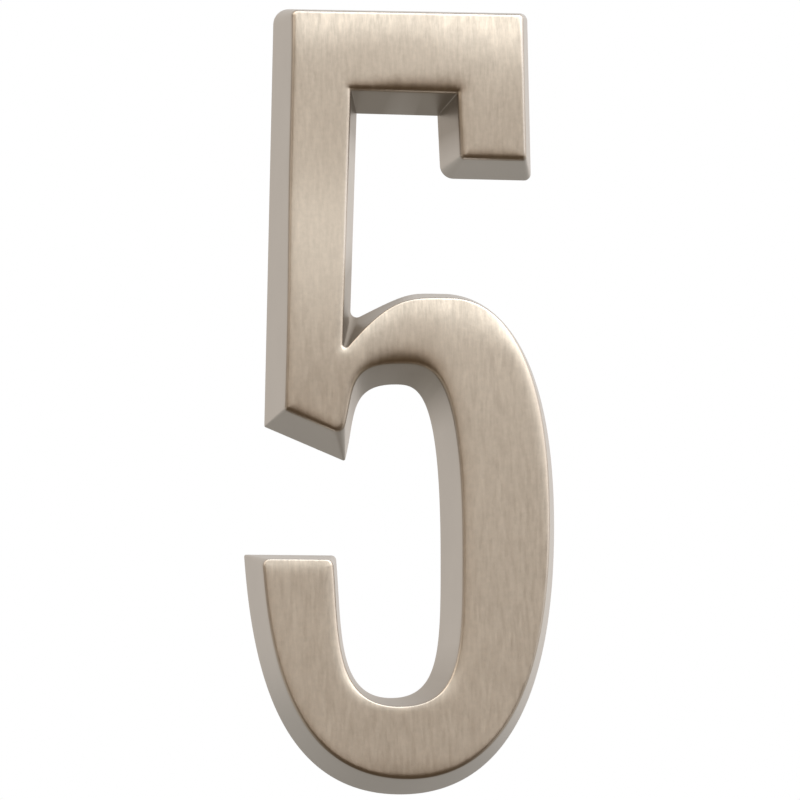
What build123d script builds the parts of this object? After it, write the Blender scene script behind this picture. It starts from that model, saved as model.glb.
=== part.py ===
from build123d import *
from math import cos, radians, sin, tan
import os

os.makedirs("parts", exist_ok=True)

# Overall sizes, mm
height = 101.6
depth = 9.5
lean = 1.84
lean_low = 1.46
edge_roll = 0.45
corner_play = 0.15

# Top bar and its hanging flag
bar_drop = 13.6
bar_slope = 0.7
flag_right = 17.11
flag_right_slope = 1.04
flag_left = 5.32
flag_left_slope = 2.6
flag_drop = 21.86
flag_drop_slope = 0.5

# Stem, with its slanted foot
stem_left = -16.37
stem_left_slope = 1.24
stem_right = -5.15
stem_right_slope = 1.84
foot_x = -17.8
foot_y = -3.54
foot_slope = 22.7
spur_x = -7.16
spur_slope = 14.1

# Notch between the stem and the bowl, at the back and at the face
notch_back = 10.11
notch_back_slope = 27.6
notch_face = 4.66
notch_face_slope = 50.0

# Bowl, outer side: farthest points
crown_x = 5.63
crown_y = 13.89
bowl_right = 19.95
bowl_right_y = -15.67
bottom_x = -0.17
tail_left = -20.15
tail_left_slope = 4.2
tail_top = -20.17

# Bowl, inner side: farthest points
tail_right = -8.32
tail_right_slope = 4.7
well_x = -1.32
well_y = -38.44
inner_right = 5.21
inner_right_y = -19.65
arch_x = -0.49
arch_y = 2.02

# Corner radii at the back
round_top_left = 2.05
round_top_right = 1.0
round_flag_right = 0.9
round_flag_left = 1.75
round_tail = 0.65
round_sharp = 0.25

# Corner radii at the face, where they differ from the rolled edge's
round_spur_face = 1.2
round_tail_face = 0.95

# Pulls of each curve's two ends, as shares of its span
pull_shoulder = (0.661, 0.407)
pull_right_upper = (0.47, 0.78)
pull_right_lower = (0.722, 0.589)
pull_tail = (0.778, 0.448)
pull_well_left = (0.494, 0.994)
pull_well_right = (1.0, 0.665)
pull_arch_right = (0.98, 0.491)
pull_arch_left = (0.95, 0.504)

# Tapped holes for concealed studs
stud_spacing = 88.9
stud_hole_diameter = 3.3
stud_hole_depth = 6.5

half_height = height / 2
stud_hole_radius = stud_hole_diameter / 2


def heading(angle):
    """Unit direction of a heading in degrees."""
    return Vector(cos(radians(angle)), sin(radians(angle)))


def side(x, y, angle, inset):
    """Straight side through a point, moved to its right-hand, inner side."""
    direction = heading(angle)
    inward = Vector(direction.Y, -direction.X)
    return Vector(x, y) + inward * inset, direction


def meet(first, second):
    """Point where two sides cross."""
    start, along = first
    other, across = second
    gap = other - start
    reach = (gap.X * across.Y - gap.Y * across.X) / (along.X * across.Y - along.Y * across.X)
    return start + along * reach


def corner(first, second, radius):
    """Ends of the arc of a radius between two sides, with their directions."""
    point = meet(first, second)
    turn = radians(first[1].get_angle(second[1]))
    trim = radius * tan(turn / 2)
    return (point - first[1] * trim, first[1]), (point + second[1] * trim, second[1])


def bow(start, end, pulls):
    """Curve between two points with directions, pulled along each of them."""
    point, along = start
    other, arriving = end
    span = other - point
    first = point + along * (pulls[0] * span.dot(along))
    second = other - arriving * (pulls[1] * span.dot(arriving))
    return Bezier(point, first, second, other)


def outline(share):
    """Closed outline at a share of the way from the back, 0, to the face, 1."""
    inset = lean * share
    low = lean_low * share

    def between(at_back, at_face):
        return at_back + (at_face - at_back) * share

    def rounding(radius):
        return between(radius, edge_roll + corner_play)

    top = side(0, half_height, 0, inset)
    flag_side = side(flag_right, half_height - flag_drop, flag_right_slope - 90, inset)
    flag_under = side(flag_left, half_height - flag_drop, 180 - flag_drop_slope, low)
    flag_inside = side(flag_left, half_height - flag_drop, 90 + flag_left_slope, inset)
    bar_under = side(0, half_height - bar_drop, 180 - bar_slope, inset)
    stem_inside = side(stem_right, half_height, -90 - stem_right_slope, inset)
    notch_slope = between(notch_back_slope, notch_face_slope)
    notch_y = between(notch_back, notch_face)
    notch_x = meet(stem_inside, side(0, notch_y, 0, 0)).X
    shoulder = side(notch_x, notch_y, notch_slope, 0)
    tail_outside = side(tail_left, tail_top, 90 + tail_left_slope, low)
    tail_end = side(0, tail_top, 0, low)
    tail_inside = side(tail_right, tail_top, tail_right_slope - 90, low)
    foot = side(foot_x, foot_y, 180 - foot_slope, inset)
    spur_y = foot_y - (spur_x - foot_x) * tan(radians(foot_slope))
    spur = side(spur_x, spur_y, -90 - spur_slope, inset)
    stem_outside = side(stem_left, half_height, 90 - stem_left_slope, inset)

    top_left = corner(stem_outside, top, rounding(round_top_left))
    top_right = corner(top, flag_side, rounding(round_top_right))
    flag_low_right = corner(flag_side, flag_under, rounding(round_flag_right))
    flag_low_left = corner(flag_under, flag_inside, rounding(round_flag_left))
    flag_root = corner(flag_inside, bar_under, 0)
    bar_root = corner(bar_under, stem_inside, 0)
    notch = corner(stem_inside, shoulder, 0)
    tail_outer = corner(tail_outside, tail_end, between(round_sharp, round_tail_face))
    tail_inner = corner(tail_end, tail_inside, between(round_tail, round_tail_face))
    spur_tip = corner(spur, foot, between(round_sharp, round_spur_face))
    foot_corner = corner(foot, stem_outside, rounding(round_sharp))

    crown = (Vector(crown_x, crown_y - inset), heading(0))
    right = (Vector(bowl_right - inset, bowl_right_y), heading(-90))
    bottom = (Vector(bottom_x, low - half_height), heading(180))
    well = (Vector(well_x, well_y - inset), heading(0))
    inner = (Vector(inner_right + inset, inner_right_y), heading(90))
    arch = (Vector(arch_x, arch_y + inset), heading(180))

    def bend(ends):
        return TangentArc(ends[0][0], ends[1][0], tangent=ends[0][1])

    def run(first, second):
        return Line(first[1][0], second[0][0])

    return [
        bend(top_left),
        run(top_left, top_right),
        bend(top_right),
        run(top_right, flag_low_right),
        bend(flag_low_right),
        run(flag_low_right, flag_low_left),
        bend(flag_low_left),
        run(flag_low_left, flag_root),
        run(flag_root, bar_root),
        run(bar_root, notch),
        bow(notch[1], crown, pull_shoulder),
        bow(crown, right, pull_right_upper),
        bow(right, bottom, pull_right_lower),
        bow(bottom, tail_outer[0], pull_tail),
        bend(tail_outer),
        run(tail_outer, tail_inner),
        bend(tail_inner),
        bow(tail_inner[1], well, pull_well_left),
        bow(well, inner, pull_well_right),
        bow(inner, arch, pull_arch_right),
        bow(arch, spur_tip[0], pull_arch_left),
        bend(spur_tip),
        run(spur_tip, foot_corner),
        bend(foot_corner),
        run(foot_corner, top_left),
    ]


def section(share, level):
    """Flat outline at a level above the back."""
    return Pos(0, 0, level) * Face(Wire(outline(share)))


back = section(0, 0)
front = section(1, depth)
numeral = loft([back, front], ruled=True)
face_edges = numeral.faces().sort_by(Axis.Z)[-1].edges()
numeral = fillet(face_edges, edge_roll)

# Blind holes, cored flat at the bottom
for place in (stud_spacing / 2, -stud_spacing / 2):
    numeral -= Pos(0, place, stud_hole_depth / 2) * Cylinder(stud_hole_radius, stud_hole_depth)

# Stand the numeral up with its face towards the viewer
numeral = Rot(90, 0, 0) * numeral
export_step(numeral, "parts/numeral.step")
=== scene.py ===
"""Dresses a cast house number, a numeral five in satin nickel, and sets it in a plain studio."""

import cmath
import logging
import math
from collections import defaultdict
from dataclasses import dataclass, field
from enum import Enum
from typing import Any, Sequence

import bmesh
import bpy
import numpy as np
from mathutils import Matrix, Vector
from mathutils.geometry import delaunay_2d_cdt

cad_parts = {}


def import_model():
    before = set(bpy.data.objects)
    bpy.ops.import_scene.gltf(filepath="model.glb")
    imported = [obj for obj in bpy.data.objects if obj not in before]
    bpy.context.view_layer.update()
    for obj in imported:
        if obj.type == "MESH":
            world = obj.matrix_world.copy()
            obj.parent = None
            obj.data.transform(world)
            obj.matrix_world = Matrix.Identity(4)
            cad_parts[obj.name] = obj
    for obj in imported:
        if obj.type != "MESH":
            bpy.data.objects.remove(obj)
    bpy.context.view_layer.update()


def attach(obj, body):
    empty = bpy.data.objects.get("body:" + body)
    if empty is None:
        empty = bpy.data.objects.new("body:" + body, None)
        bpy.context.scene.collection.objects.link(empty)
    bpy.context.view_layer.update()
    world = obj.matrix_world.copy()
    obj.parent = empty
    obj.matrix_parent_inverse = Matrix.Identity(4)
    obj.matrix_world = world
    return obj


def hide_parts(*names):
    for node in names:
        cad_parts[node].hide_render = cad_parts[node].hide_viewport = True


LOG = logging.getLogger("house_number")
MM = 0.001
# Keeps a division from being by zero
TINY = 1e-9
# Long lists of places are measured in batches, which keeps the arrays small
BATCHES = 16


class Layer(Enum):
    """What each point of the numeral's surface remembers of its making.

    How sheltered a point is sets the painted shade of the flanks.
    """

    BRUSHED = "brushed"
    ROLLED = "rolled"
    SHELTERED = "sheltered"


def to_linear(code: str) -> tuple[float, float, float, float]:
    """Turns an sRGB hex colour into a linear one.

    Args:
        code: Colour such as "#c8b8a4".

    Returns:
        Linear red, green, blue and an alpha of one.
    """
    parts = [int(code[k : k + 2], 16) / 255 for k in (1, 3, 5)]
    red, green, blue = [p / 12.92 if p <= 0.04045 else ((p + 0.055) / 1.055) ** 2.4 for p in parts]
    return red, green, blue, 1.0


def empty_tree(owner: Any) -> bpy.types.NodeTree:
    """Empties a material's or a world's node tree.

    Args:
        owner: Material or world.

    Returns:
        Its node tree.
    """
    owner.use_nodes = True
    owner.node_tree.nodes.clear()
    return owner.node_tree


def add_node(tree: bpy.types.NodeTree, kind: str, inputs: dict[Any, Any], **settings: Any) -> bpy.types.Node:
    """Adds a node, sets it up and links it.

    Args:
        tree: Node tree that gets the node.
        kind: Blender's name of the node type.
        inputs: Input names or numbers, each with a value or with the output socket to link.
        settings: Attributes of the node.

    Returns:
        The new node.
    """
    node = tree.nodes.new(kind)
    for name, value in settings.items():
        setattr(node, name, value)
    for name, value in inputs.items():
        if isinstance(value, bpy.types.NodeSocket):
            tree.links.new(value, node.inputs[name])
        else:
            node.inputs[name].default_value = value
    return node


@dataclass(frozen=True)
class SatinNickel:
    """Satin nickel plate on cast brass.

    The face is linished upright on a belt, which leaves fine upright scratches and a warm, soft sheen. The
    flanks are only tumbled and plated, so they are smoother and greyer, and a painted shade darkens them
    towards brown in the sheltered corners and under the strokes, most near the face. Near a worn upper edge
    the scratches show more, and so do blotches the belt missed.
    """

    face: str = "#d1bba0"
    flank: str = "#cfc7bd"
    # Brown of the painted shade on sheltered flanks, and how much shelter brings how much of it
    corner_shade: str = "#82735f"
    shade_shelter: tuple[float, float] = (0.03, 0.17)
    shade_most: float = 0.6
    face_roughness: float = 0.33
    roughness_swing: float = 0.04
    flank_roughness: float = 0.36
    # Real scratches and grain are a few hundredths of a millimetre wide, so both are drawn coarser, to show
    scratch_width_mm: float = 0.42
    scratch_length_mm: float = 2.6
    scratch_depth_mm: float = 0.007
    scratch_detail: float = 4.0
    scratch_swing: float = 0.2
    scratch_contrast: tuple[float, float] = (0.22, 0.7)
    scratch_bite: tuple[float, float] = (0.6, 2.2)
    grain_mm: float = 0.6
    grain_detail: float = 2.0
    grain_swing: float = 0.035
    grain_bite: float = 0.5
    cloud_mm: float = 9.0
    cloud_detail: float = 3.0
    cloud_swing: float = 0.025
    blotch_width_mm: float = 1.5
    blotch_length_mm: float = 3.2
    blotch_detail: float = 2.0
    blotch_swing: tuple[float, float] = (-0.14, 0.1)
    drawn_roughness: float = 0.6
    noise_range: tuple[float, float] = (0.3, 0.7)

    def drawn_out(
        self, tree: bpy.types.NodeTree, place: Any, width: float, length: float, detail: float
    ) -> Any:
        """Adds a pattern of upright marks.

        Args:
            tree: Node tree that gets the pattern.
            place: Socket with the place on the numeral.
            width: Width of a mark, mm.
            length: Upright length of a mark, mm.
            detail: Number of finer layers.

        Returns:
            Socket with the pattern.
        """
        scale = (1 / (width * MM), 1 / (width * MM), 1 / (length * MM))
        point = add_node(tree, "ShaderNodeVectorMath", {0: place, 1: scale}, operation="MULTIPLY").outputs[0]
        inputs = {"Vector": point, "Scale": 1.0, "Detail": detail, "Roughness": self.drawn_roughness}
        return add_node(tree, "ShaderNodeTexNoise", inputs).outputs["Fac"]

    def material(self) -> bpy.types.Material:
        """Builds the plate's material.

        Returns:
            The material.
        """
        made = bpy.data.materials.new("satin_nickel_plate_linished")
        tree = empty_tree(made)
        place = add_node(tree, "ShaderNodeTexCoord", {}).outputs["Object"]
        brushed, rolled, sheltered = (
            add_node(tree, "ShaderNodeAttribute", {}, attribute_name=layer.value).outputs["Fac"]
            for layer in Layer
        )
        scratch, blotch = (
            self.drawn_out(tree, place, width, length, detail)
            for width, length, detail in (
                (self.scratch_width_mm, self.scratch_length_mm, self.scratch_detail),
                (self.blotch_width_mm, self.blotch_length_mm, self.blotch_detail),
            )
        )
        grain, cloud = (
            add_node(
                tree, "ShaderNodeTexNoise", {"Vector": place, "Scale": 1 / (size * MM), "Detail": detail}
            ).outputs["Fac"]
            for size, detail in ((self.grain_mm, self.grain_detail), (self.cloud_mm, self.cloud_detail))
        )
        dull, swing = self.face_roughness, self.roughness_swing
        usual = {"From Min": self.noise_range[0], "From Max": self.noise_range[1]}
        haze, scratched, blotched, grained, worn = (
            add_node(
                tree, "ShaderNodeMapRange", {"Value": noise, **usual, "To Min": low, "To Max": high}
            ).outputs[0]
            for noise, low, high in (
                (cloud, 1 - self.cloud_swing, 1 + self.cloud_swing),
                (scratch, -self.scratch_swing, self.scratch_swing),
                (blotch, *self.blotch_swing),
                (grain, 1 - self.grain_swing, 1 + self.grain_swing),
                (scratch, dull - swing, dull + swing),
            )
        )
        contrast, bite = (
            add_node(
                tree, "ShaderNodeMath", {0: rolled, 1: added, 2: least}, operation="MULTIPLY_ADD"
            ).outputs[0]
            for least, added in (self.scratch_contrast, self.scratch_bite)
        )
        streak, missed = (
            add_node(
                tree, "ShaderNodeMath", {0: marks, 1: share, 2: 1.0}, operation="MULTIPLY_ADD"
            ).outputs[0]
            for marks, share in ((scratched, contrast), (blotched, rolled))
        )
        tone = streak
        for shade in (missed, grained, haze):
            tone = add_node(tree, "ShaderNodeMath", {0: tone, 1: shade}, operation="MULTIPLY").outputs[0]
        lined = add_node(
            tree, "ShaderNodeVectorMath", {0: to_linear(self.face)[:3], "Scale": tone}, operation="SCALE"
        ).outputs[0]
        # Painted shade: the more sheltered a flank point, the nearer its colour comes to the brown
        clean, deep = self.shade_shelter
        painted_shade = add_node(
            tree,
            "ShaderNodeMapRange",
            {"Value": sheltered, "From Min": clean, "From Max": deep, "To Max": self.shade_most},
        ).outputs[0]
        shaded_flank = add_node(
            tree,
            "ShaderNodeMix",
            {"Factor": painted_shade, 6: to_linear(self.flank), 7: to_linear(self.corner_shade)},
            data_type="RGBA",
        ).outputs[2]
        plain = add_node(
            tree, "ShaderNodeVectorMath", {0: shaded_flank, "Scale": haze}, operation="SCALE"
        ).outputs[0]
        colour = add_node(
            tree, "ShaderNodeMix", {"Factor": brushed, 6: plain, 7: lined}, data_type="RGBA"
        ).outputs[2]
        roughness = add_node(
            tree, "ShaderNodeMix", {"Factor": brushed, 2: self.flank_roughness, 3: worn}, data_type="FLOAT"
        ).outputs[0]
        cut = add_node(tree, "ShaderNodeMath", {0: scratch, 1: bite}, operation="MULTIPLY").outputs[0]
        marks = add_node(
            tree, "ShaderNodeMath", {0: grain, 1: self.grain_bite, 2: cut}, operation="MULTIPLY_ADD"
        ).outputs[0]
        bump = add_node(
            tree,
            "ShaderNodeBump",
            {"Height": marks, "Strength": brushed, "Distance": self.scratch_depth_mm * MM},
        )
        shader = add_node(
            tree,
            "ShaderNodeBsdfPrincipled",
            {"Base Color": colour, "Metallic": 1.0, "Roughness": roughness, "Normal": bump.outputs["Normal"]},
        )
        add_node(tree, "ShaderNodeOutputMaterial", {"Surface": shader.outputs["BSDF"]})
        return made


Side = tuple[complex, complex]


def heading(angle: float) -> complex:
    """Gives the unit direction of a heading in degrees."""
    return cmath.exp(1j * math.radians(angle))


def side(x: float, y: float, angle: float, inset: float) -> Side:
    """Gives a straight side through a point, moved to its right-hand, inner side.

    Args:
        x: Point's place to the right, mm.
        y: Point's place upwards, mm.
        angle: Heading in degrees.
        inset: How far the side moves in, mm.

    Returns:
        A point on the side and its direction.
    """
    direction = heading(angle)
    return complex(x, y) - 1j * direction * inset, direction


def cross(a: complex, b: complex) -> float:
    """Gives the cross product of two plane vectors."""
    return (a.conjugate() * b).imag


def meet(first: Side, second: Side) -> complex:
    """Gives the point where two sides cross."""
    return first[0] + first[1] * cross(second[0] - first[0], second[1]) / cross(first[1], second[1])


def corner(first: Side, second: Side, radius: float) -> tuple[Side, Side]:
    """Rounds the corner of two sides.

    Args:
        first: Side that arrives.
        second: Side that leaves.
        radius: Corner radius, mm.

    Returns:
        The arc's two ends, each with its direction.
    """
    point = meet(first, second)
    trim = radius * math.tan(abs(cmath.phase(second[1] / first[1])) / 2)
    return (point - first[1] * trim, first[1]), (point + second[1] * trim, second[1])


def bend(ends: tuple[Side, Side], steps: int) -> list[complex]:
    """Samples the arc between a corner's two ends, without its last point.

    Args:
        ends: The arc's two ends with their directions.
        steps: Number of steps.

    Returns:
        Points along the arc.
    """
    (start, along), (end, leaving) = ends
    turn = cmath.phase(leaving / along)
    radius = abs(end - start) / (2 * math.sin(abs(turn) / 2))
    centre = start + 1j * along * math.copysign(radius, turn)
    return [centre + (start - centre) * cmath.exp(1j * turn * k / steps) for k in range(steps)]


def run(start: Side, end: Side, steps: int) -> list[complex]:
    """Samples the straight stretch between two points, without its last point."""
    return [start[0] + (end[0] - start[0]) * k / steps for k in range(steps)]


def bow(start: Side, end: Side, pulls: tuple[float, float], steps: int) -> list[complex]:
    """Samples a curve between two points with directions, without its last point.

    Args:
        start: First point and its direction.
        end: Last point and its direction.
        pulls: How far each end holds its direction, as shares of the span.
        steps: Number of steps.

    Returns:
        Points along the curve.
    """
    span = end[0] - start[0]
    first = start[0] + start[1] * pulls[0] * (span * start[1].conjugate()).real
    second = end[0] - end[1] * pulls[1] * (span * end[1].conjugate()).real
    shares = [k / steps for k in range(steps)]
    return [
        (1 - t) ** 3 * start[0] + 3 * t * (1 - t) ** 2 * first + 3 * t * t * (1 - t) * second + t**3 * end[0]
        for t in shares
    ]


@dataclass(frozen=True)
class Outline:
    """The numeral's outline, with the casting's own sizes apart from small corner radii, mm and degrees."""

    height: float = 101.6
    lean: float = 1.84
    lean_low: float = 1.46
    face_round: float = 0.5
    bar_drop: float = 13.6
    bar_slope: float = 0.7
    flag_right: float = 17.11
    flag_right_slope: float = 1.04
    flag_left: float = 5.32
    flag_left_slope: float = 2.6
    flag_drop: float = 21.86
    flag_drop_slope: float = 0.5
    stem_left: float = -16.37
    stem_left_slope: float = 1.24
    stem_right: float = -5.15
    stem_right_slope: float = 1.84
    foot_x: float = -17.8
    foot_y: float = -3.54
    foot_slope: float = 22.7
    spur_x: float = -7.16
    spur_slope: float = 14.1
    notch_back: float = 10.11
    notch_back_slope: float = 27.6
    notch_face: float = 4.66
    notch_face_slope: float = 50.0
    crown_x: float = 5.63
    crown_y: float = 13.89
    bowl_right: float = 19.95
    bowl_right_y: float = -15.67
    bottom_x: float = -0.17
    tail_left: float = -20.15
    tail_left_slope: float = 4.2
    tail_top: float = -20.17
    tail_right: float = -8.32
    tail_right_slope: float = 4.7
    well_x: float = -1.32
    well_y: float = -38.44
    inner_right: float = 5.21
    inner_right_y: float = -19.65
    arch_x: float = -0.49
    arch_y: float = 2.02
    round_top_left: float = 2.05
    round_top_right: float = 1.0
    round_flag_right: float = 0.9
    round_flag_left: float = 1.75
    round_tail: float = 0.65
    round_inside: float = 0.04
    round_sharp: float = 0.25
    round_inside_face: float = 0.12
    round_notch: float = 0.82
    round_notch_face: float = 0.42
    round_spur_face: float = 1.2
    round_tail_face: float = 0.95
    pull_shoulder: tuple[float, float] = (0.661, 0.407)
    pull_right_upper: tuple[float, float] = (0.47, 0.78)
    pull_right_lower: tuple[float, float] = (0.722, 0.589)
    pull_tail: tuple[float, float] = (0.778, 0.448)
    pull_well_left: tuple[float, float] = (0.494, 0.994)
    pull_well_right: tuple[float, float] = (1.0, 0.665)
    pull_arch_right: tuple[float, float] = (0.98, 0.491)
    pull_arch_left: tuple[float, float] = (0.95, 0.504)
    step: float = 0.42
    turn_steps: int = 8

    def ring(self, share: float) -> np.ndarray:
        """Samples the outline at a share of the way from the back to the face.

        Args:
            share: 0 at the back, 1 at the face.

        Returns:
            Points as complex numbers, clockwise as the numeral is read, with as many points at every share.
        """
        half = self.height / 2
        inset, low = self.lean * share, self.lean_low * share

        def between(at_back: float, at_face: float) -> float:
            """Gives the size at this share, from its sizes at the back and at the face."""
            return at_back + (at_face - at_back) * share

        def rounding(radius: float) -> float:
            """Gives an outer corner's radius at this share, from its radius at the back."""
            return between(radius, self.face_round)

        def steps(length: float) -> int:
            """Gives the number of steps on a stretch of a rough length, mm."""
            return max(2, round(length / self.step))

        top = side(0, half, 0, inset)
        flag_side = side(self.flag_right, half - self.flag_drop, self.flag_right_slope - 90, inset)
        flag_under = side(self.flag_left, half - self.flag_drop, 180 - self.flag_drop_slope, low)
        flag_inside = side(self.flag_left, half - self.flag_drop, 90 + self.flag_left_slope, inset)
        bar_under = side(0, half - self.bar_drop, 180 - self.bar_slope, inset)
        stem_inside = side(self.stem_right, half, -90 - self.stem_right_slope, inset)
        notch_y = between(self.notch_back, self.notch_face)
        notch_x = meet(stem_inside, side(0, notch_y, 0, 0)).real
        shoulder = side(notch_x, notch_y, between(self.notch_back_slope, self.notch_face_slope), 0)
        tail_outside = side(self.tail_left, self.tail_top, 90 + self.tail_left_slope, low)
        tail_end = side(0, self.tail_top, 0, low)
        tail_inside = side(self.tail_right, self.tail_top, self.tail_right_slope - 90, low)
        foot = side(self.foot_x, self.foot_y, 180 - self.foot_slope, inset)
        spur_y = self.foot_y - (self.spur_x - self.foot_x) * math.tan(math.radians(self.foot_slope))
        spur = side(self.spur_x, spur_y, -90 - self.spur_slope, inset)
        stem_outside = side(self.stem_left, half, 90 - self.stem_left_slope, inset)

        top_left = corner(stem_outside, top, rounding(self.round_top_left))
        top_right = corner(top, flag_side, rounding(self.round_top_right))
        flag_low_right = corner(flag_side, flag_under, rounding(self.round_flag_right))
        flag_low_left = corner(flag_under, flag_inside, rounding(self.round_flag_left))
        inside = between(self.round_inside, self.round_inside_face)
        flag_root = corner(flag_inside, bar_under, inside)
        bar_root = corner(bar_under, stem_inside, inside)
        notch = corner(stem_inside, shoulder, between(self.round_notch, self.round_notch_face))
        tail_outer = corner(tail_outside, tail_end, between(self.round_sharp, self.round_tail_face))
        tail_inner = corner(tail_end, tail_inside, between(self.round_tail, self.round_tail_face))
        spur_tip = corner(spur, foot, between(self.round_sharp, self.round_spur_face))
        foot_corner = corner(foot, stem_outside, rounding(self.round_sharp))

        crown = (complex(self.crown_x, self.crown_y - inset), heading(0))
        right = (complex(self.bowl_right - inset, self.bowl_right_y), heading(-90))
        bottom = (complex(self.bottom_x, low - half), heading(180))
        well = (complex(self.well_x, self.well_y - inset), heading(0))
        inner = (complex(self.inner_right + inset, self.inner_right_y), heading(90))
        arch = (complex(self.arch_x, self.arch_y + inset), heading(180))

        # Each stretch is stepped by one rough length in mm, so that every ring has as many points
        turn, tight = self.turn_steps, self.turn_steps // 2
        stretches = [
            bend(top_left, turn),
            run(top_left[1], top_right[0], steps(30)),
            bend(top_right, turn),
            run(top_right[1], flag_low_right[0], steps(20)),
            bend(flag_low_right, turn),
            run(flag_low_right[1], flag_low_left[0], steps(9)),
            bend(flag_low_left, turn),
            run(flag_low_left[1], flag_root[0], steps(7)),
            bend(flag_root, tight),
            run(flag_root[1], bar_root[0], steps(11)),
            bend(bar_root, tight),
            run(bar_root[1], notch[0], steps(28)),
            bend(notch, turn),
            bow(notch[1], crown, self.pull_shoulder, steps(14)),
            bow(crown, right, self.pull_right_upper, steps(36)),
            bow(right, bottom, self.pull_right_lower, steps(42)),
            bow(bottom, tail_outer[0], self.pull_tail, steps(38)),
            bend(tail_outer, turn),
            run(tail_outer[1], tail_inner[0], steps(10)),
            bend(tail_inner, turn),
            bow(tail_inner[1], well, self.pull_well_left, steps(22)),
            bow(well, inner, self.pull_well_right, steps(24)),
            bow(inner, arch, self.pull_arch_right, steps(24)),
            bow(arch, spur_tip[0], self.pull_arch_left, steps(13)),
            bend(spur_tip, turn),
            run(spur_tip[1], foot_corner[0], steps(9)),
            bend(foot_corner, turn),
            run(foot_corner[1], top_left[0], steps(48)),
        ]
        return np.array([p for stretch in stretches for p in stretch])


def metal_above(ring: np.ndarray, places: np.ndarray) -> tuple[np.ndarray, np.ndarray]:
    """Measures how much metal lies straight above each place on the face.

    Args:
        ring: Outline of the face.
        places: Places on the face.

    Returns:
        Upward distances to the outline, mm, which are not numbers outside it, and how far up the outline
        faces there, 0 to 1.
    """
    start, end = ring, np.roll(ring, -1)
    x, y = places.real[:, None], places.imag[:, None]
    hit = (start.real[None] <= x) != (end.real[None] <= x)
    width = np.where(np.abs(end.real - start.real) < TINY, TINY, end.real - start.real)
    level = start.imag[None] + (x - start.real[None]) / width[None] * (end.imag - start.imag)[None]
    hit &= level >= y
    gap = np.where(hit, level - y, np.inf)
    facing = np.clip((end.real - start.real) / np.abs(end - start), 0, 1)
    return np.where(hit.sum(1) % 2 == 1, gap.min(1), np.nan), facing[gap.argmin(1)]


def edge_gaps(ring: np.ndarray, places: np.ndarray) -> np.ndarray:
    """Measures the distance from each place to each stretch of an outline.

    Args:
        ring: Outline.
        places: Places near it.

    Returns:
        Distances, mm, one row for each place.
    """
    span = np.roll(ring, -1) - ring
    way = places[:, None] - ring[None]
    share = np.clip((way * span.conj()).real / np.abs(span) ** 2, 0, 1)
    return np.abs(way - share * span)


def nearest_edge(ring: np.ndarray, places: np.ndarray) -> np.ndarray:
    """Measures the distance from each place to an outline, mm."""
    return np.concatenate([edge_gaps(ring, some).min(1) for some in np.array_split(places, BATCHES)])


def shelter(ring: np.ndarray, reach: float) -> np.ndarray:
    """Measures how closely the numeral's own strokes stand round each point of its outline.

    Rays fan out from each point, and the most sheltered point close by counts.

    Args:
        ring: Outline.
        reach: Distance beyond which a stroke gives no shelter, mm.

    Returns:
        0 for an open point, towards 1 for a point deep in a corner.
    """
    standoff = 0.05
    shortest = 0.02
    close_by = 0.6
    widest = 75
    rays = 13
    along = np.roll(ring, -1) - np.roll(ring, 1)
    outward = 1j * along / np.abs(along)
    span = np.roll(ring, -1) - ring
    start = ring + outward * standoff
    gap = ring[None] - start[:, None]
    total, weights = np.zeros(len(ring)), 0.0
    for angle in np.radians(np.linspace(-widest, widest, rays)):
        ray = (outward * np.exp(1j * angle))[:, None]
        turn = (ray.conj() * span[None]).imag
        turn = np.where(np.abs(turn) < TINY, TINY, turn)
        far = (gap.conj() * span[None]).imag / turn
        at = (gap.conj() * ray).imag / turn
        hit = (far > shortest) & (at >= 0) & (at <= 1)
        nearest = np.where(hit, far, np.inf).min(1)
        total += math.cos(angle) * np.clip(1 - nearest / reach, 0, 1)
        weights += math.cos(angle)
    close = np.abs(ring[:, None] - ring[None]) < close_by
    return np.where(close, total[None], 0).max(1) / weights


def tail(values: np.ndarray) -> np.ndarray:
    """Sums the bell curve of unit slope from each value on."""
    return np.vectorize(math.erfc)(values) * math.sqrt(math.pi) / 2


def ramp(values: np.ndarray, blur: float) -> np.ndarray:
    """Keeps values above zero and bends softly to zero below."""
    return blur * np.logaddexp(0, values / blur)


@dataclass(frozen=True)
class Dip:
    """A stretch of the numeral where the face falls away towards its lower edge, mm and degrees.

    The fall starts at a level, ends at a floor and comes in between two places across the numeral.
    """

    tilt: float
    level: float
    floor: float
    places: tuple[float, float]
    blur: float = 2.5

    def drop(self, places: np.ndarray) -> np.ndarray:
        """Works out how far the face falls.

        Args:
            places: Places on the face.

        Returns:
            Drop of the face.
        """
        share = np.clip((places.real - self.places[0]) / (self.places[1] - self.places[0]), 0, 1)
        hung = np.where(places.imag > self.floor, ramp(self.level - places.imag, self.blur), 0)
        return math.radians(self.tilt) * hung * share * share * (3 - 2 * share)


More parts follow.
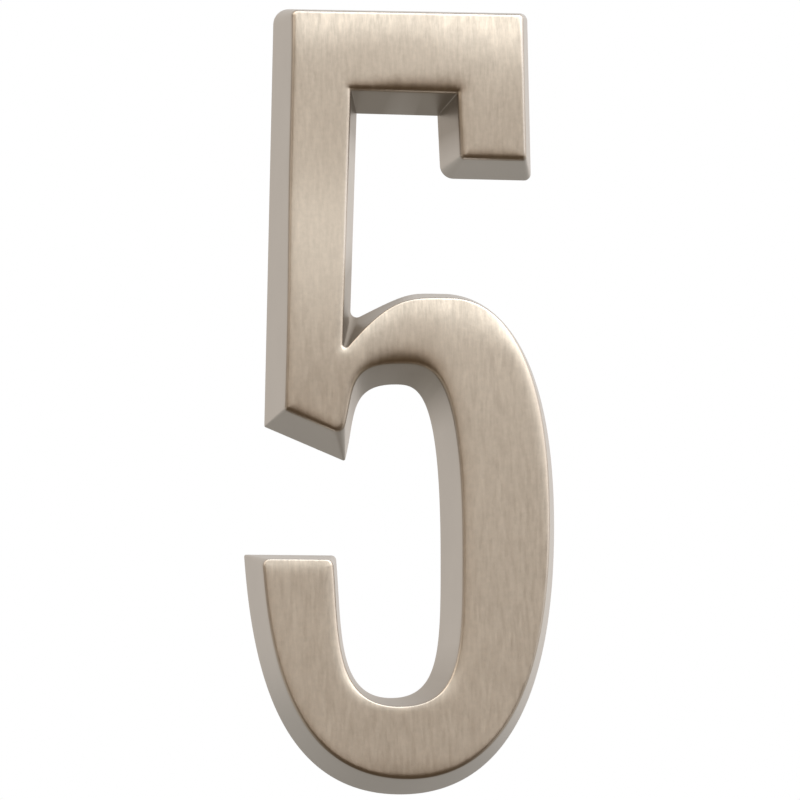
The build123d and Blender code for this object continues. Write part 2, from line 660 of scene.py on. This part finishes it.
@dataclass(frozen=True)
class Belt:
    """What an upright linishing belt takes off the face, mm and degrees.

    The belt comes down on each stroke's upper edge and wears a long soft slope there. Every other edge is
    rolled over closely, most of all where it faces down. A list of reaches or gains belongs to the list of
    levels up the numeral, or of places across it, that stands before it, and runs evenly between its values.
    """

    slope_tilt: float = 5.7
    slope_levels: tuple[float, ...] = (-40.0, -20.0, -10.0, 5.0, 9.0, 12.0, 50.0)
    slope_reaches: tuple[float, ...] = (0.5, 1.0, 0.5, 0.5, 1.35, 2.5, 3.0)
    slope_places: tuple[float, ...] = (-16.0, -11.0, -5.0, 0.0, 3.0, 6.0, 12.0)
    slope_gains: tuple[float, ...] = (1.35, 1.3, 1.05, 0.95, 1.0, 1.35, 1.75)
    slope_facings: tuple[float, float] = (0.1, 0.55)
    slope_blur: float = 0.8
    slope_spread: float = 1.7
    slope_samples: int = 9
    slope_stray: float = 0.15
    up_tilt: float = 0.5
    up_reach: float = 0.35
    right_tilt: float = 26.0
    right_levels: tuple[float, ...] = (-50.0, -22.0, -12.0, -5.0, 11.0, 18.0, 36.0)
    right_outer_reaches: tuple[float, ...] = (0.08, 0.09, 0.38, 0.52, 0.52, 0.08, 0.08)
    right_inner_reaches: tuple[float, ...] = (0.52, 0.52, 0.45, 0.35, 0.32, 0.1, 0.22)
    left_tilt: float = 16.0
    left_places: tuple[float, ...] = (-20.0, -14.0, 0.0, 5.0)
    left_reaches: tuple[float, ...] = (0.3, 0.38, 0.5, 0.65)
    down_tilt: float = 32.0
    down_levels: tuple[float, ...] = (-50.0, -10.0, -4.0, 2.0, 12.0, 29.0, 37.0)
    down_reaches: tuple[float, ...] = (0.25, 0.35, 0.4, 0.8, 0.6, 0.3, 0.62)
    down_places: tuple[float, ...] = (-13.0, -8.5, -4.5, -1.5)
    down_gains: tuple[float, ...] = (1.0, 0.6, 0.6, 1.0)
    edge_blur: float = 0.4
    swell_tilt: float = 1.95
    swell_middle: complex = -10.5 + 19.5j
    swell_lengths: tuple[float, float] = (16.0, 14.0)
    swell_width: float = 7.0
    lean_tilt: float = 0.55
    lean_level: float = -1.0
    lean_blur: float = 4.0
    # The flag, the stem's foot and the bottom of the bowl
    dips: tuple[Dip, ...] = (
        Dip(1.8, 40.0, 18.0, (2.0, 9.0)),
        Dip(1.3, 0.5, -12.0, (-3.0, -9.0)),
        Dip(1.9, -47.2, -60.0, (-40.0, -39.0), 0.5),
    )
    skim: float = 0.16

    def slope(self, ring: np.ndarray, places: np.ndarray) -> tuple[np.ndarray, np.ndarray]:
        """Works out the long slope below each stroke's upper edge.

        Args:
            ring: Outline of the face.
            places: Places on the face.

        Returns:
            Drop of the face, and nearness of the upper edge, 0 to 1.
        """
        total, close, weight = (np.zeros(len(places)) for _ in range(3))
        gain = np.interp(places.real, self.slope_places, self.slope_gains)
        for shift in np.linspace(-self.slope_spread, self.slope_spread, self.slope_samples) * self.slope_blur:
            above, facing = metal_above(ring, places + shift)
            share = np.where(np.isfinite(above), math.exp(-((shift / self.slope_blur) ** 2)), 0)
            gap = np.where(np.isfinite(above), above, 0)
            reach = np.interp(places.imag + gap, self.slope_levels, self.slope_reaches) * gain
            upper = share * np.interp(facing, self.slope_facings, (0, 1))
            total += reach * tail(gap / reach) * upper
            close += np.exp(-gap / reach) * upper
            weight += upper + self.slope_stray * (share - upper) + TINY
        return math.tan(math.radians(self.slope_tilt)) * total / weight, close / weight

    def roll(self, ring: np.ndarray, places: np.ndarray) -> np.ndarray:
        """Works out the close roll at the nearest edge.

        Args:
            ring: Outline of the face.
            places: Places on the face.

        Returns:
            Drop of the face.
        """
        span = np.roll(ring, -1) - ring
        facing = 1j * span / np.abs(span)
        up, down = np.maximum(facing.imag, 0) ** 2, np.minimum(facing.imag, 0) ** 2
        right, left = np.maximum(facing.real, 0) ** 2, np.minimum(facing.real, 0) ** 2
        tilt = up * self.up_tilt + down * self.down_tilt + right * self.right_tilt + left * self.left_tilt
        outer, inner = (
            np.interp(ring.imag, self.right_levels, reaches)
            for reaches in (self.right_outer_reaches, self.right_inner_reaches)
        )
        reach = up * self.up_reach + right * np.where(ring.real > 0, outer, inner)
        gain = np.interp(ring.real, self.down_places, self.down_gains)
        reach += down * np.interp(ring.imag, self.down_levels, self.down_reaches) * gain
        reach += left * np.interp(ring.real, self.left_places, self.left_reaches)
        drops = []
        for some in np.array_split(places, BATCHES):
            gap = edge_gaps(ring, some)
            least = gap.min(1)
            weight = np.exp((least[:, None] - gap) / self.edge_blur) * np.abs(span)
            weight /= weight.sum(1)[:, None]
            far = weight @ reach
            drops.append(np.tan(np.radians(weight @ tilt)) * far * np.exp(-least / far))
        return np.concatenate(drops)

    def warp(self, places: np.ndarray) -> np.ndarray:
        """Works out how far the face departs from flat away from its edges.

        Args:
            places: Places on the face.

        Returns:
            Drop of the face.
        """
        way = places - self.swell_middle
        length = np.where(way.imag < 0, *self.swell_lengths)
        patch = np.exp(-((way.imag / length) ** 2) - (way.real / self.swell_width) ** 4)
        swell = math.radians(self.swell_tilt) * way.imag * patch
        lean = math.radians(self.lean_tilt) * ramp(places.imag - self.lean_level, self.lean_blur)
        return swell + lean + sum(dip.drop(places) for dip in self.dips)

    def wear(self, ring: np.ndarray, places: np.ndarray) -> tuple[np.ndarray, np.ndarray]:
        """Works out how far the face is worn down at each place.

        Args:
            ring: Outline of the face.
            places: Places on the face.

        Returns:
            Drop of the face, and the nearness of an upper edge, 0 to 1.
        """
        slope, near = self.slope(ring, places)
        drop = slope + self.roll(ring, places) + self.warp(places)
        return drop + self.skim, near


@dataclass(frozen=True)
class StudHole:
    """A blind hole in the back, tapped for a stud, with its thread as a real helix, mm."""

    spacing: float = 88.9
    tapping_radius: float = 1.65
    thread_radius: float = 2.0
    mouth_radius: float = 2.15
    mouth_depth: float = 0.15
    pitch: float = 0.7
    depth: float = 6.5
    threaded: float = 5.4
    sides: int = 40

    def mouth(self, centre: complex) -> np.ndarray:
        """Gives the points round the hole's mouth, about a centre."""
        return centre + self.mouth_radius * np.exp(-2j * math.pi * np.arange(self.sides) / self.sides)

    def point(self, mesh: bmesh.types.BMesh, centre: complex, radius: float, turn: int, depth: float) -> Any:
        """Adds one point of the hole's wall.

        Args:
            mesh: Mesh that gets the point.
            centre: Middle of the hole.
            radius: Distance from the middle, mm.
            turn: Number of the point round the hole.
            depth: Depth below the back, mm.

        Returns:
            The new point.
        """
        place = centre + radius * cmath.exp(-2j * math.pi * turn / self.sides)
        return mesh.verts.new((place.real * MM, -depth * MM, place.imag * MM))

    def cut(self, mesh: bmesh.types.BMesh, centre: complex, mouth: list[Any]) -> None:
        """Cuts the hole.

        Args:
            mesh: Mesh that gets the hole.
            centre: Middle of the hole.
            mouth: The mesh's points round the hole's mouth.
        """
        middle = (self.tapping_radius + self.thread_radius) / 2
        crests = (self.thread_radius, middle, self.tapping_radius, middle)
        rows: list[list[Any]] = [mouth]
        for row in range(int(self.threaded / self.pitch * len(crests))):
            level = self.mouth_depth + row * self.pitch / len(crests)
            radius = crests[row % len(crests)]
            lead = min(1, row / len(crests))
            rise = [level + self.pitch * k / self.sides * lead for k in range(self.sides)]
            rows.append([self.point(mesh, centre, radius, k, rise[k]) for k in range(self.sides)])
        rows.append([self.point(mesh, centre, self.tapping_radius, k, self.depth) for k in range(self.sides)])
        for upper, lower in zip(rows, rows[1:]):
            for k in range(self.sides):
                n = (k + 1) % self.sides
                mesh.faces.new((upper[k], lower[k], lower[n], upper[n]))
        mesh.faces.new(rows[-1])


@dataclass
class Numeral:
    """The cast numeral: leaning flanks, a rolled edge, a linished face and tapped holes in the back, mm."""

    finish: SatinNickel
    outline: Outline = field(default_factory=Outline)
    belt: Belt = field(default_factory=Belt)
    hole: StudHole = field(default_factory=StudHole)
    depth: float = 9.5
    roll_gaps: tuple[float, float, float] = (0.12, 0.26, 0.36)
    tilt_step: float = 0.05
    tilt_limits: tuple[float, float] = (-0.1, 1.0)
    rim_row: float = 0.012
    flank_rows: int = 8
    roll_rows: int = 7
    edge_rows: tuple[float, ...] = (0.12, 0.26, 0.44, 0.66, 0.95, 1.3, 1.7)
    edge_row_room: float = 0.9
    face_grid: float = 0.55
    back_grid: float = 2.5
    merge_gap: float = 1e-7
    shelter_reach: float = 11.3
    shelter_gain: tuple[float, float] = (0.9, 1.2)
    crease: float = 38.0

    def grid(self, loops: Sequence[np.ndarray], spacing: float, border: float) -> np.ndarray:
        """Lays an even grid between loops.

        Args:
            loops: Outer loop, then the loops of holes.
            spacing: Distance between points, mm.
            border: Distance that the points keep from the loops, mm.

        Returns:
            Points of the grid.
        """
        outer = loops[0]
        columns = np.arange(outer.real.min(), outer.real.max(), spacing)
        rows = np.arange(outer.imag.min(), outer.imag.max(), spacing * math.sin(math.pi / 3))
        grid = np.array([complex(x + spacing / 2 * (k % 2), y) for k, y in enumerate(rows) for x in columns])
        grid = grid[np.isfinite(metal_above(outer, grid)[0])]
        for loop in loops[1:]:
            grid = grid[np.isnan(metal_above(loop, grid)[0])]
        for loop in loops:
            grid = grid[nearest_edge(loop, grid) > border]
        return grid

    def fill(self, loops: Sequence[np.ndarray], grid: np.ndarray) -> tuple[np.ndarray, list[list[int]]]:
        """Fills the area between loops with triangles.

        Args:
            loops: Outer loop, then the loops of holes.
            grid: Points between the loops.

        Returns:
            Points, those of the loops first and in order, and triangles as point numbers.
        """
        points = np.concatenate([*loops, grid])
        walls, start = [], 0
        for loop in loops:
            walls += [(start + k, start + (k + 1) % len(loop)) for k in range(len(loop))]
            start += len(loop)
        flat = [Vector((p.real, p.imag)) for p in points]
        kept, _, found, origin, _, _ = delaunay_2d_cdt(flat, walls, [], 0, self.merge_gap, True)
        if len(kept) != len(points):
            raise ValueError("the outline crosses itself")
        cells = [[origin[k][0] for k in cell] for cell in found]
        beside: dict[frozenset[int], list[int]] = defaultdict(list)
        for n, cell in enumerate(cells):
            for pair in zip(cell, cell[1:] + cell[:1]):
                beside[frozenset(pair)].append(n)
        for wall in walls:
            beside[frozenset(wall)] = []
        inside = {n for n, cell in enumerate(cells) if max(cell) >= start}
        queue = list(inside)
        while queue:
            cell = cells[queue.pop()]
            for pair in zip(cell, cell[1:] + cell[:1]):
                new = set(beside[frozenset(pair)]) - inside
                inside |= new
                queue += new
        return points, [cells[n] for n in sorted(inside)]

    def rings(self, rim: np.ndarray, face: np.ndarray) -> tuple[list[np.ndarray], list[float]]:
        """Works out the rings of points from the back's rim up the flank and over the rolled edge.

        The roll runs smoothly from the flank into the worn face.

        Args:
            rim: Outline of the back.
            face: Outline of the face before it is worn, with as many points.

        Returns:
            Rings of points, and how far each one is rolled onto the face, 0 to 1.
        """
        along = np.roll(face, -1) - np.roll(face, 1)
        inward = -1j * along / np.abs(along)
        gap = np.interp(inward.imag, (-1, 0, 1), self.roll_gaps)
        steeper, drop, flatter = (
            self.belt.wear(face, face + inward * (gap + k * self.tilt_step))[0] for k in (-1, 0, 1)
        )
        tilt = np.clip((steeper - flatter) / (2 * self.tilt_step), *self.tilt_limits)

        def lift(plane: np.ndarray, level: Any) -> np.ndarray:
            """Stands plane points at a level."""
            return np.stack([plane.real, plane.imag, np.broadcast_to(level, plane.shape)], 1)

        foot = lift(rim, 0.0)
        slope = (rim - face) / self.depth
        outward = -(slope * inward.conj()).real
        lost = (drop + tilt * gap) / (1 - tilt * outward)
        top = lift(face + slope * lost, self.depth - lost)
        on_face = lift(face + inward * gap, self.depth - drop)
        setback = np.linalg.norm(on_face - top, axis=1)[:, None]
        down = (foot - top) / np.linalg.norm(foot - top, axis=1)[:, None]
        back = (on_face - top) / setback
        on_flank = top + down * setback
        opening = np.arccos(np.clip((down * back).sum(1), -1, 1))[:, None]
        middle = (down + back) / np.linalg.norm(down + back, axis=1)[:, None]
        centre = top + middle * setback / np.cos(opening / 2)
        sweep = math.pi - opening
        rises = [0.0, self.rim_row, *(k / self.flank_rows for k in range(1, self.flank_rows))]
        rings = [foot + (on_flank - foot) * rise for rise in rises]
        shares = [0.0] * len(rises)
        for k in range(self.roll_rows + 1):
            share = k / self.roll_rows
            first, second = np.sin((1 - share) * sweep), np.sin(share * sweep)
            rings.append(centre + ((on_flank - centre) * first + (on_face - centre) * second) / np.sin(sweep))
            shares.append(share)
        return rings, shares

    def build(self) -> bpy.types.Object:
        """Builds the numeral as one closed mesh.

        Returns:
            The new object.
        """
        rim, face = self.outline.ring(0), self.outline.ring(1)
        rings, shares = self.rings(rim, face)
        count, last = len(rim), len(rings) - 1
        edge = rings[-1][:, 0] + 1j * rings[-1][:, 1]
        inward = (edge - face) / np.abs(edge - face)
        rows = [edge + inward * row for row in self.edge_rows]
        room = [row * self.edge_row_room for row in self.edge_rows]
        near = [p[nearest_edge(edge, p) > least] for p, least in zip(rows, room)]
        middle = self.grid([edge], self.face_grid, self.edge_rows[-1] + self.face_grid / 2)
        points, cells = self.fill([edge], np.concatenate([*near, middle]))
        drop, rolled = self.belt.wear(face, points)
        inner = np.stack([points.real, points.imag, self.depth - drop], 1)[count:]
        body = np.concatenate([*rings, inner])
        number = np.arange(len(rings))
        climb = np.clip((number - 1) / self.flank_rows, 0, 1)
        brushed = np.concatenate([np.repeat(shares, count), np.ones(len(inner))])
        # How sheltered each flank point is sets its painted shade, which grows from the back towards the face
        shade = shelter((rim + face) / 2, self.shelter_reach)
        gain = (self.shelter_gain[0] + climb * np.ptp(self.shelter_gain)) * (number > 0)
        sheltered = np.concatenate([np.outer(gain, shade).ravel(), np.zeros(len(inner))])
        rolled = np.concatenate([np.outer(np.floor(climb), rolled[:count]).ravel(), rolled[count:]])

        mesh = bmesh.new()
        verts = [mesh.verts.new((x * MM, -z * MM, y * MM)) for x, y, z in body]
        for low in range(0, last * count, count):
            for k in range(count):
                n = (k + 1) % count
                up = low + count
                mesh.faces.new((verts[low + k], verts[up + k], verts[up + n], verts[low + n]))
        for cell in cells:
            mesh.faces.new([verts[last * count + k] for k in cell])
        self.close_back(mesh, rim, verts[:count])
        bmesh.ops.recalc_face_normals(mesh, faces=mesh.faces)
        for f in mesh.faces:
            f.smooth = True
        for e in mesh.edges:
            e.smooth = e.calc_face_angle(0) < math.radians(self.crease)
        data = bpy.data.meshes.new("numeral_five")
        mesh.to_mesh(data)
        mesh.free()
        extra = np.zeros(len(data.vertices) - len(body))
        layers = {Layer.BRUSHED: brushed, Layer.ROLLED: rolled, Layer.SHELTERED: sheltered}
        for layer, values in layers.items():
            store = data.attributes.new(layer.value, "FLOAT", "POINT")
            store.data.foreach_set("value", np.concatenate([values, extra]))
        return bpy.data.objects.new("numeral_five", data)

    def close_back(self, mesh: bmesh.types.BMesh, rim: np.ndarray, rim_verts: list[Any]) -> None:
        """Closes the flat back and cuts the stud holes into it.

        Args:
            mesh: Mesh that gets the back.
            rim: Outline of the back.
            rim_verts: The mesh's points along that outline.
        """
        centres = (0.5j * self.hole.spacing, -0.5j * self.hole.spacing)
        loops = [rim, *(self.hole.mouth(c) for c in centres)]
        points, cells = self.fill(loops, self.grid(loops, self.back_grid, self.back_grid / 2))
        verts = rim_verts + [mesh.verts.new((p.real * MM, 0, p.imag * MM)) for p in points[len(rim) :]]
        for cell in cells:
            mesh.faces.new([verts[k] for k in cell])
        for number, centre in enumerate(centres):
            start = len(rim) + number * self.hole.sides
            self.hole.cut(mesh, centre, verts[start : start + self.hole.sides])

    def dress(self) -> bpy.types.Object:
        """Builds the numeral, gives it its finish and puts it in the casting's place.

        Returns:
            The finished object.
        """
        piece = self.build()
        piece.data.materials.append(self.finish.material())
        bpy.context.scene.collection.objects.link(piece)
        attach(piece, "root")
        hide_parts("numeral")
        return piece


@dataclass(frozen=True)
class Glow:
    """A soft patch of light in the surroundings, which fades in between two cosines from its middle."""

    towards: tuple[float, float, float]
    reach: tuple[float, float]
    strength: float
    tint: str = "#ffffff"


@dataclass
class Studio:
    """A plain white studio, in metres: a pale floor, a soft lamp and a camera left of and below the numeral.

    The metal mirrors a painted reflection of the floor, darker than the camera sees it, with a brown painted
    shade in a wedge in front of the numeral.
    """

    floor_level: float = -0.30
    floor_width: float = 5.0
    floor_shade: float = 0.56
    # Brown painted shade that the metal mirrors in a wedge of floor in front of the numeral
    mirrored_front_shade: str = "#5c5144"
    front_ends: tuple[float, float] = (0.0, 0.54)
    front_sides: tuple[float, float] = (0.12, 0.42)
    front_widening: float = 0.6
    paper: str = "#f2f0ec"
    paper_roughness: float = 0.9
    lamp_place: tuple[float, float, float] = (0.7, -0.9, 1.1)
    lamp_width: float = 0.9
    lamp_watts: float = 2.0
    room: float = 0.11
    room_tint: str = "#ffddb4"
    glows: tuple[Glow, ...] = (
        Glow((0.0, 1.0, 0.05), (-0.15, 0.95), 0.64),
        Glow((0.14, -0.62, 0.76), (0.70, 0.88), 2.0, "#d9eaff"),
        Glow((-0.62, -0.36, 0.70), (0.80, 0.96), 1.3),
        Glow((0.64, -0.42, 0.64), (0.66, 0.92), 1.7, "#d9e8ff"),
        Glow((0.95, 0.10, 0.20), (0.2, 1.0), 0.4),
        Glow((-0.90, -0.42, 0.05), (0.35, 1.0), 0.15),
        Glow((-0.06, -0.99, -0.13), (0.9, 1.0), 0.46, "#f7f8ff"),
    )
    camera_place: tuple[float, float, float] = (-0.0996, -0.88, -0.1068)
    aim: tuple[float, float, float] = (0.0, 0.0, 0.00002)
    roll_degrees: float = -0.103
    focal_pixels: float = 6926.9
    frame_pixels: float = 800.0
    sensor_mm: float = 36.0

    def surroundings(self) -> None:
        """Makes the background, which is white to the camera and a dim room with soft glows to the metal."""
        world = bpy.data.worlds.new("white_studio")
        tree = empty_tree(world)
        way = add_node(tree, "ShaderNodeTexCoord", {}).outputs["Generated"]
        level: Any = tuple(c * self.room for c in to_linear(self.room_tint)[:3])
        for glow in self.glows:
            axis = tuple(Vector(glow.towards).normalized())
            facing = add_node(tree, "ShaderNodeVectorMath", {0: way, 1: axis}, operation="DOT_PRODUCT")
            patch = add_node(
                tree,
                "ShaderNodeMapRange",
                {
                    "Value": facing.outputs["Value"],
                    "From Min": glow.reach[0],
                    "From Max": glow.reach[1],
                    "To Min": 0.0,
                    "To Max": glow.strength,
                },
                interpolation_type="SMOOTHSTEP",
            )
            level = add_node(
                tree,
                "ShaderNodeVectorMath",
                {0: patch.outputs[0], 1: to_linear(glow.tint)[:3], 2: level},
                operation="MULTIPLY_ADD",
            ).outputs[0]
        seen = add_node(tree, "ShaderNodeLightPath", {}).outputs["Is Camera Ray"]
        shown = add_node(
            tree, "ShaderNodeMix", {"Factor": seen, 6: level, 7: (1.0, 1.0, 1.0, 1.0)}, data_type="RGBA"
        )
        light = add_node(tree, "ShaderNodeBackground", {"Color": shown.outputs[2], "Strength": 1.0})
        add_node(tree, "ShaderNodeOutputWorld", {"Surface": light.outputs[0]})
        bpy.context.scene.world = world

    def floor(self) -> bpy.types.Object:
        """Lays the pale paper floor well below the numeral, with a painted reflection for the metal to
        mirror.

        Returns:
            The floor.
        """
        # Uncoated white paper has almost no gloss and takes only a soft shadow
        made = bpy.data.materials.new("matt_white_paper_painted_reflection")
        tree = empty_tree(made)
        paper = add_node(
            tree,
            "ShaderNodeBsdfPrincipled",
            {"Base Color": to_linear(self.paper), "Roughness": self.paper_roughness},
        )
        place = add_node(tree, "ShaderNodeTexCoord", {}).outputs["Object"]
        behind = add_node(tree, "ShaderNodeSeparateXYZ", {0: place}).outputs["Y"]
        size = add_node(tree, "ShaderNodeVectorMath", {0: place}, operation="ABSOLUTE").outputs[0]
        apart = add_node(tree, "ShaderNodeSeparateXYZ", {0: size})
        beside = add_node(
            tree,
            "ShaderNodeMath",
            {0: apart.outputs["Y"], 1: -self.front_widening, 2: apart.outputs["X"]},
            operation="MULTIPLY_ADD",
        ).outputs[0]
        far, wide = (
            add_node(
                tree,
                "ShaderNodeMapRange",
                {"Value": value, "From Min": least, "From Max": most},
                interpolation_type="SMOOTHSTEP",
            ).outputs[0]
            for value, (least, most) in ((behind, self.front_ends), (beside, self.front_sides))
        )
        lit = add_node(tree, "ShaderNodeMath", {0: far, 1: wide}, operation="MAXIMUM").outputs[0]
        back = tuple(c * self.floor_shade for c in to_linear(self.paper)[:3]) + (1.0,)
        tone = add_node(
            tree, "ShaderNodeMix", {"Factor": lit, 6: to_linear(self.mirrored_front_shade), 7: back}, data_type="RGBA"
        ).outputs[2]
        # Painted reflection: glossy rays see this emission instead of the paper, dimmer, and brown in front
        shade = add_node(tree, "ShaderNodeEmission", {"Color": tone, "Strength": 1.0})
        mirrored = add_node(tree, "ShaderNodeLightPath", {}).outputs["Is Glossy Ray"]
        both = add_node(tree, "ShaderNodeMixShader", {0: mirrored, 1: paper.outputs[0], 2: shade.outputs[0]})
        add_node(tree, "ShaderNodeOutputMaterial", {"Surface": both.outputs[0]})
        half = self.floor_width / 2
        data = bpy.data.meshes.new("paper_floor")
        corners = [(-half, -half), (half, -half), (half, half), (-half, half)]
        data.from_pydata([(x, y, self.floor_level) for x, y in corners], [], [(0, 1, 2, 3)])
        data.materials.append(made)
        piece = bpy.data.objects.new("paper_floor", data)
        bpy.context.scene.collection.objects.link(piece)
        return piece

    def lamp(self) -> bpy.types.Object:
        """Hangs a square soft lamp that shines on the numeral.

        Returns:
            The lamp.
        """
        data = bpy.data.lights.new("soft_key", "AREA")
        data.size = self.lamp_width
        data.energy = self.lamp_watts
        lamp = bpy.data.objects.new("soft_key", data)
        lamp.location = self.lamp_place
        lamp.rotation_euler = (-Vector(self.lamp_place)).to_track_quat("-Z", "Y").to_euler()
        bpy.context.scene.collection.objects.link(lamp)
        return lamp

    def camera(self) -> bpy.types.Object:
        """Sets up the camera of the product picture.

        Returns:
            The camera.
        """
        data = bpy.data.cameras.new("product_camera")
        data.sensor_width = self.sensor_mm
        data.lens = self.focal_pixels / self.frame_pixels * self.sensor_mm
        camera = bpy.data.objects.new("product_camera", data)
        place = Vector(self.camera_place)
        look = (Vector(self.aim) - place).normalized()
        right = look.cross(Vector((0, 0, 1))).normalized()
        up = right.cross(look)
        turn = math.radians(self.roll_degrees)
        level = right * math.cos(turn) + up * math.sin(turn)
        upright = up * math.cos(turn) - right * math.sin(turn)
        facing = Matrix((level, upright, -look)).transposed().to_4x4()
        camera.matrix_world = Matrix.Translation(place) @ facing
        bpy.context.scene.collection.objects.link(camera)
        bpy.context.scene.camera = camera
        return camera


def main() -> None:
    """Builds the studio and the numeral."""
    logging.basicConfig(level=logging.INFO, format="%(name)s: %(message)s")
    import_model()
    bpy.context.scene.view_settings.view_transform = "Standard"
    studio = Studio()
    studio.camera()
    studio.surroundings()
    floor = studio.floor()
    studio.lamp()
    numeral = Numeral(SatinNickel()).dress()
    for piece in (floor, numeral):
        LOG.info("%s has %d faces", piece.name, len(piece.data.polygons))
    bpy.context.view_layer.update()


if __name__ == "__main__":
    main()
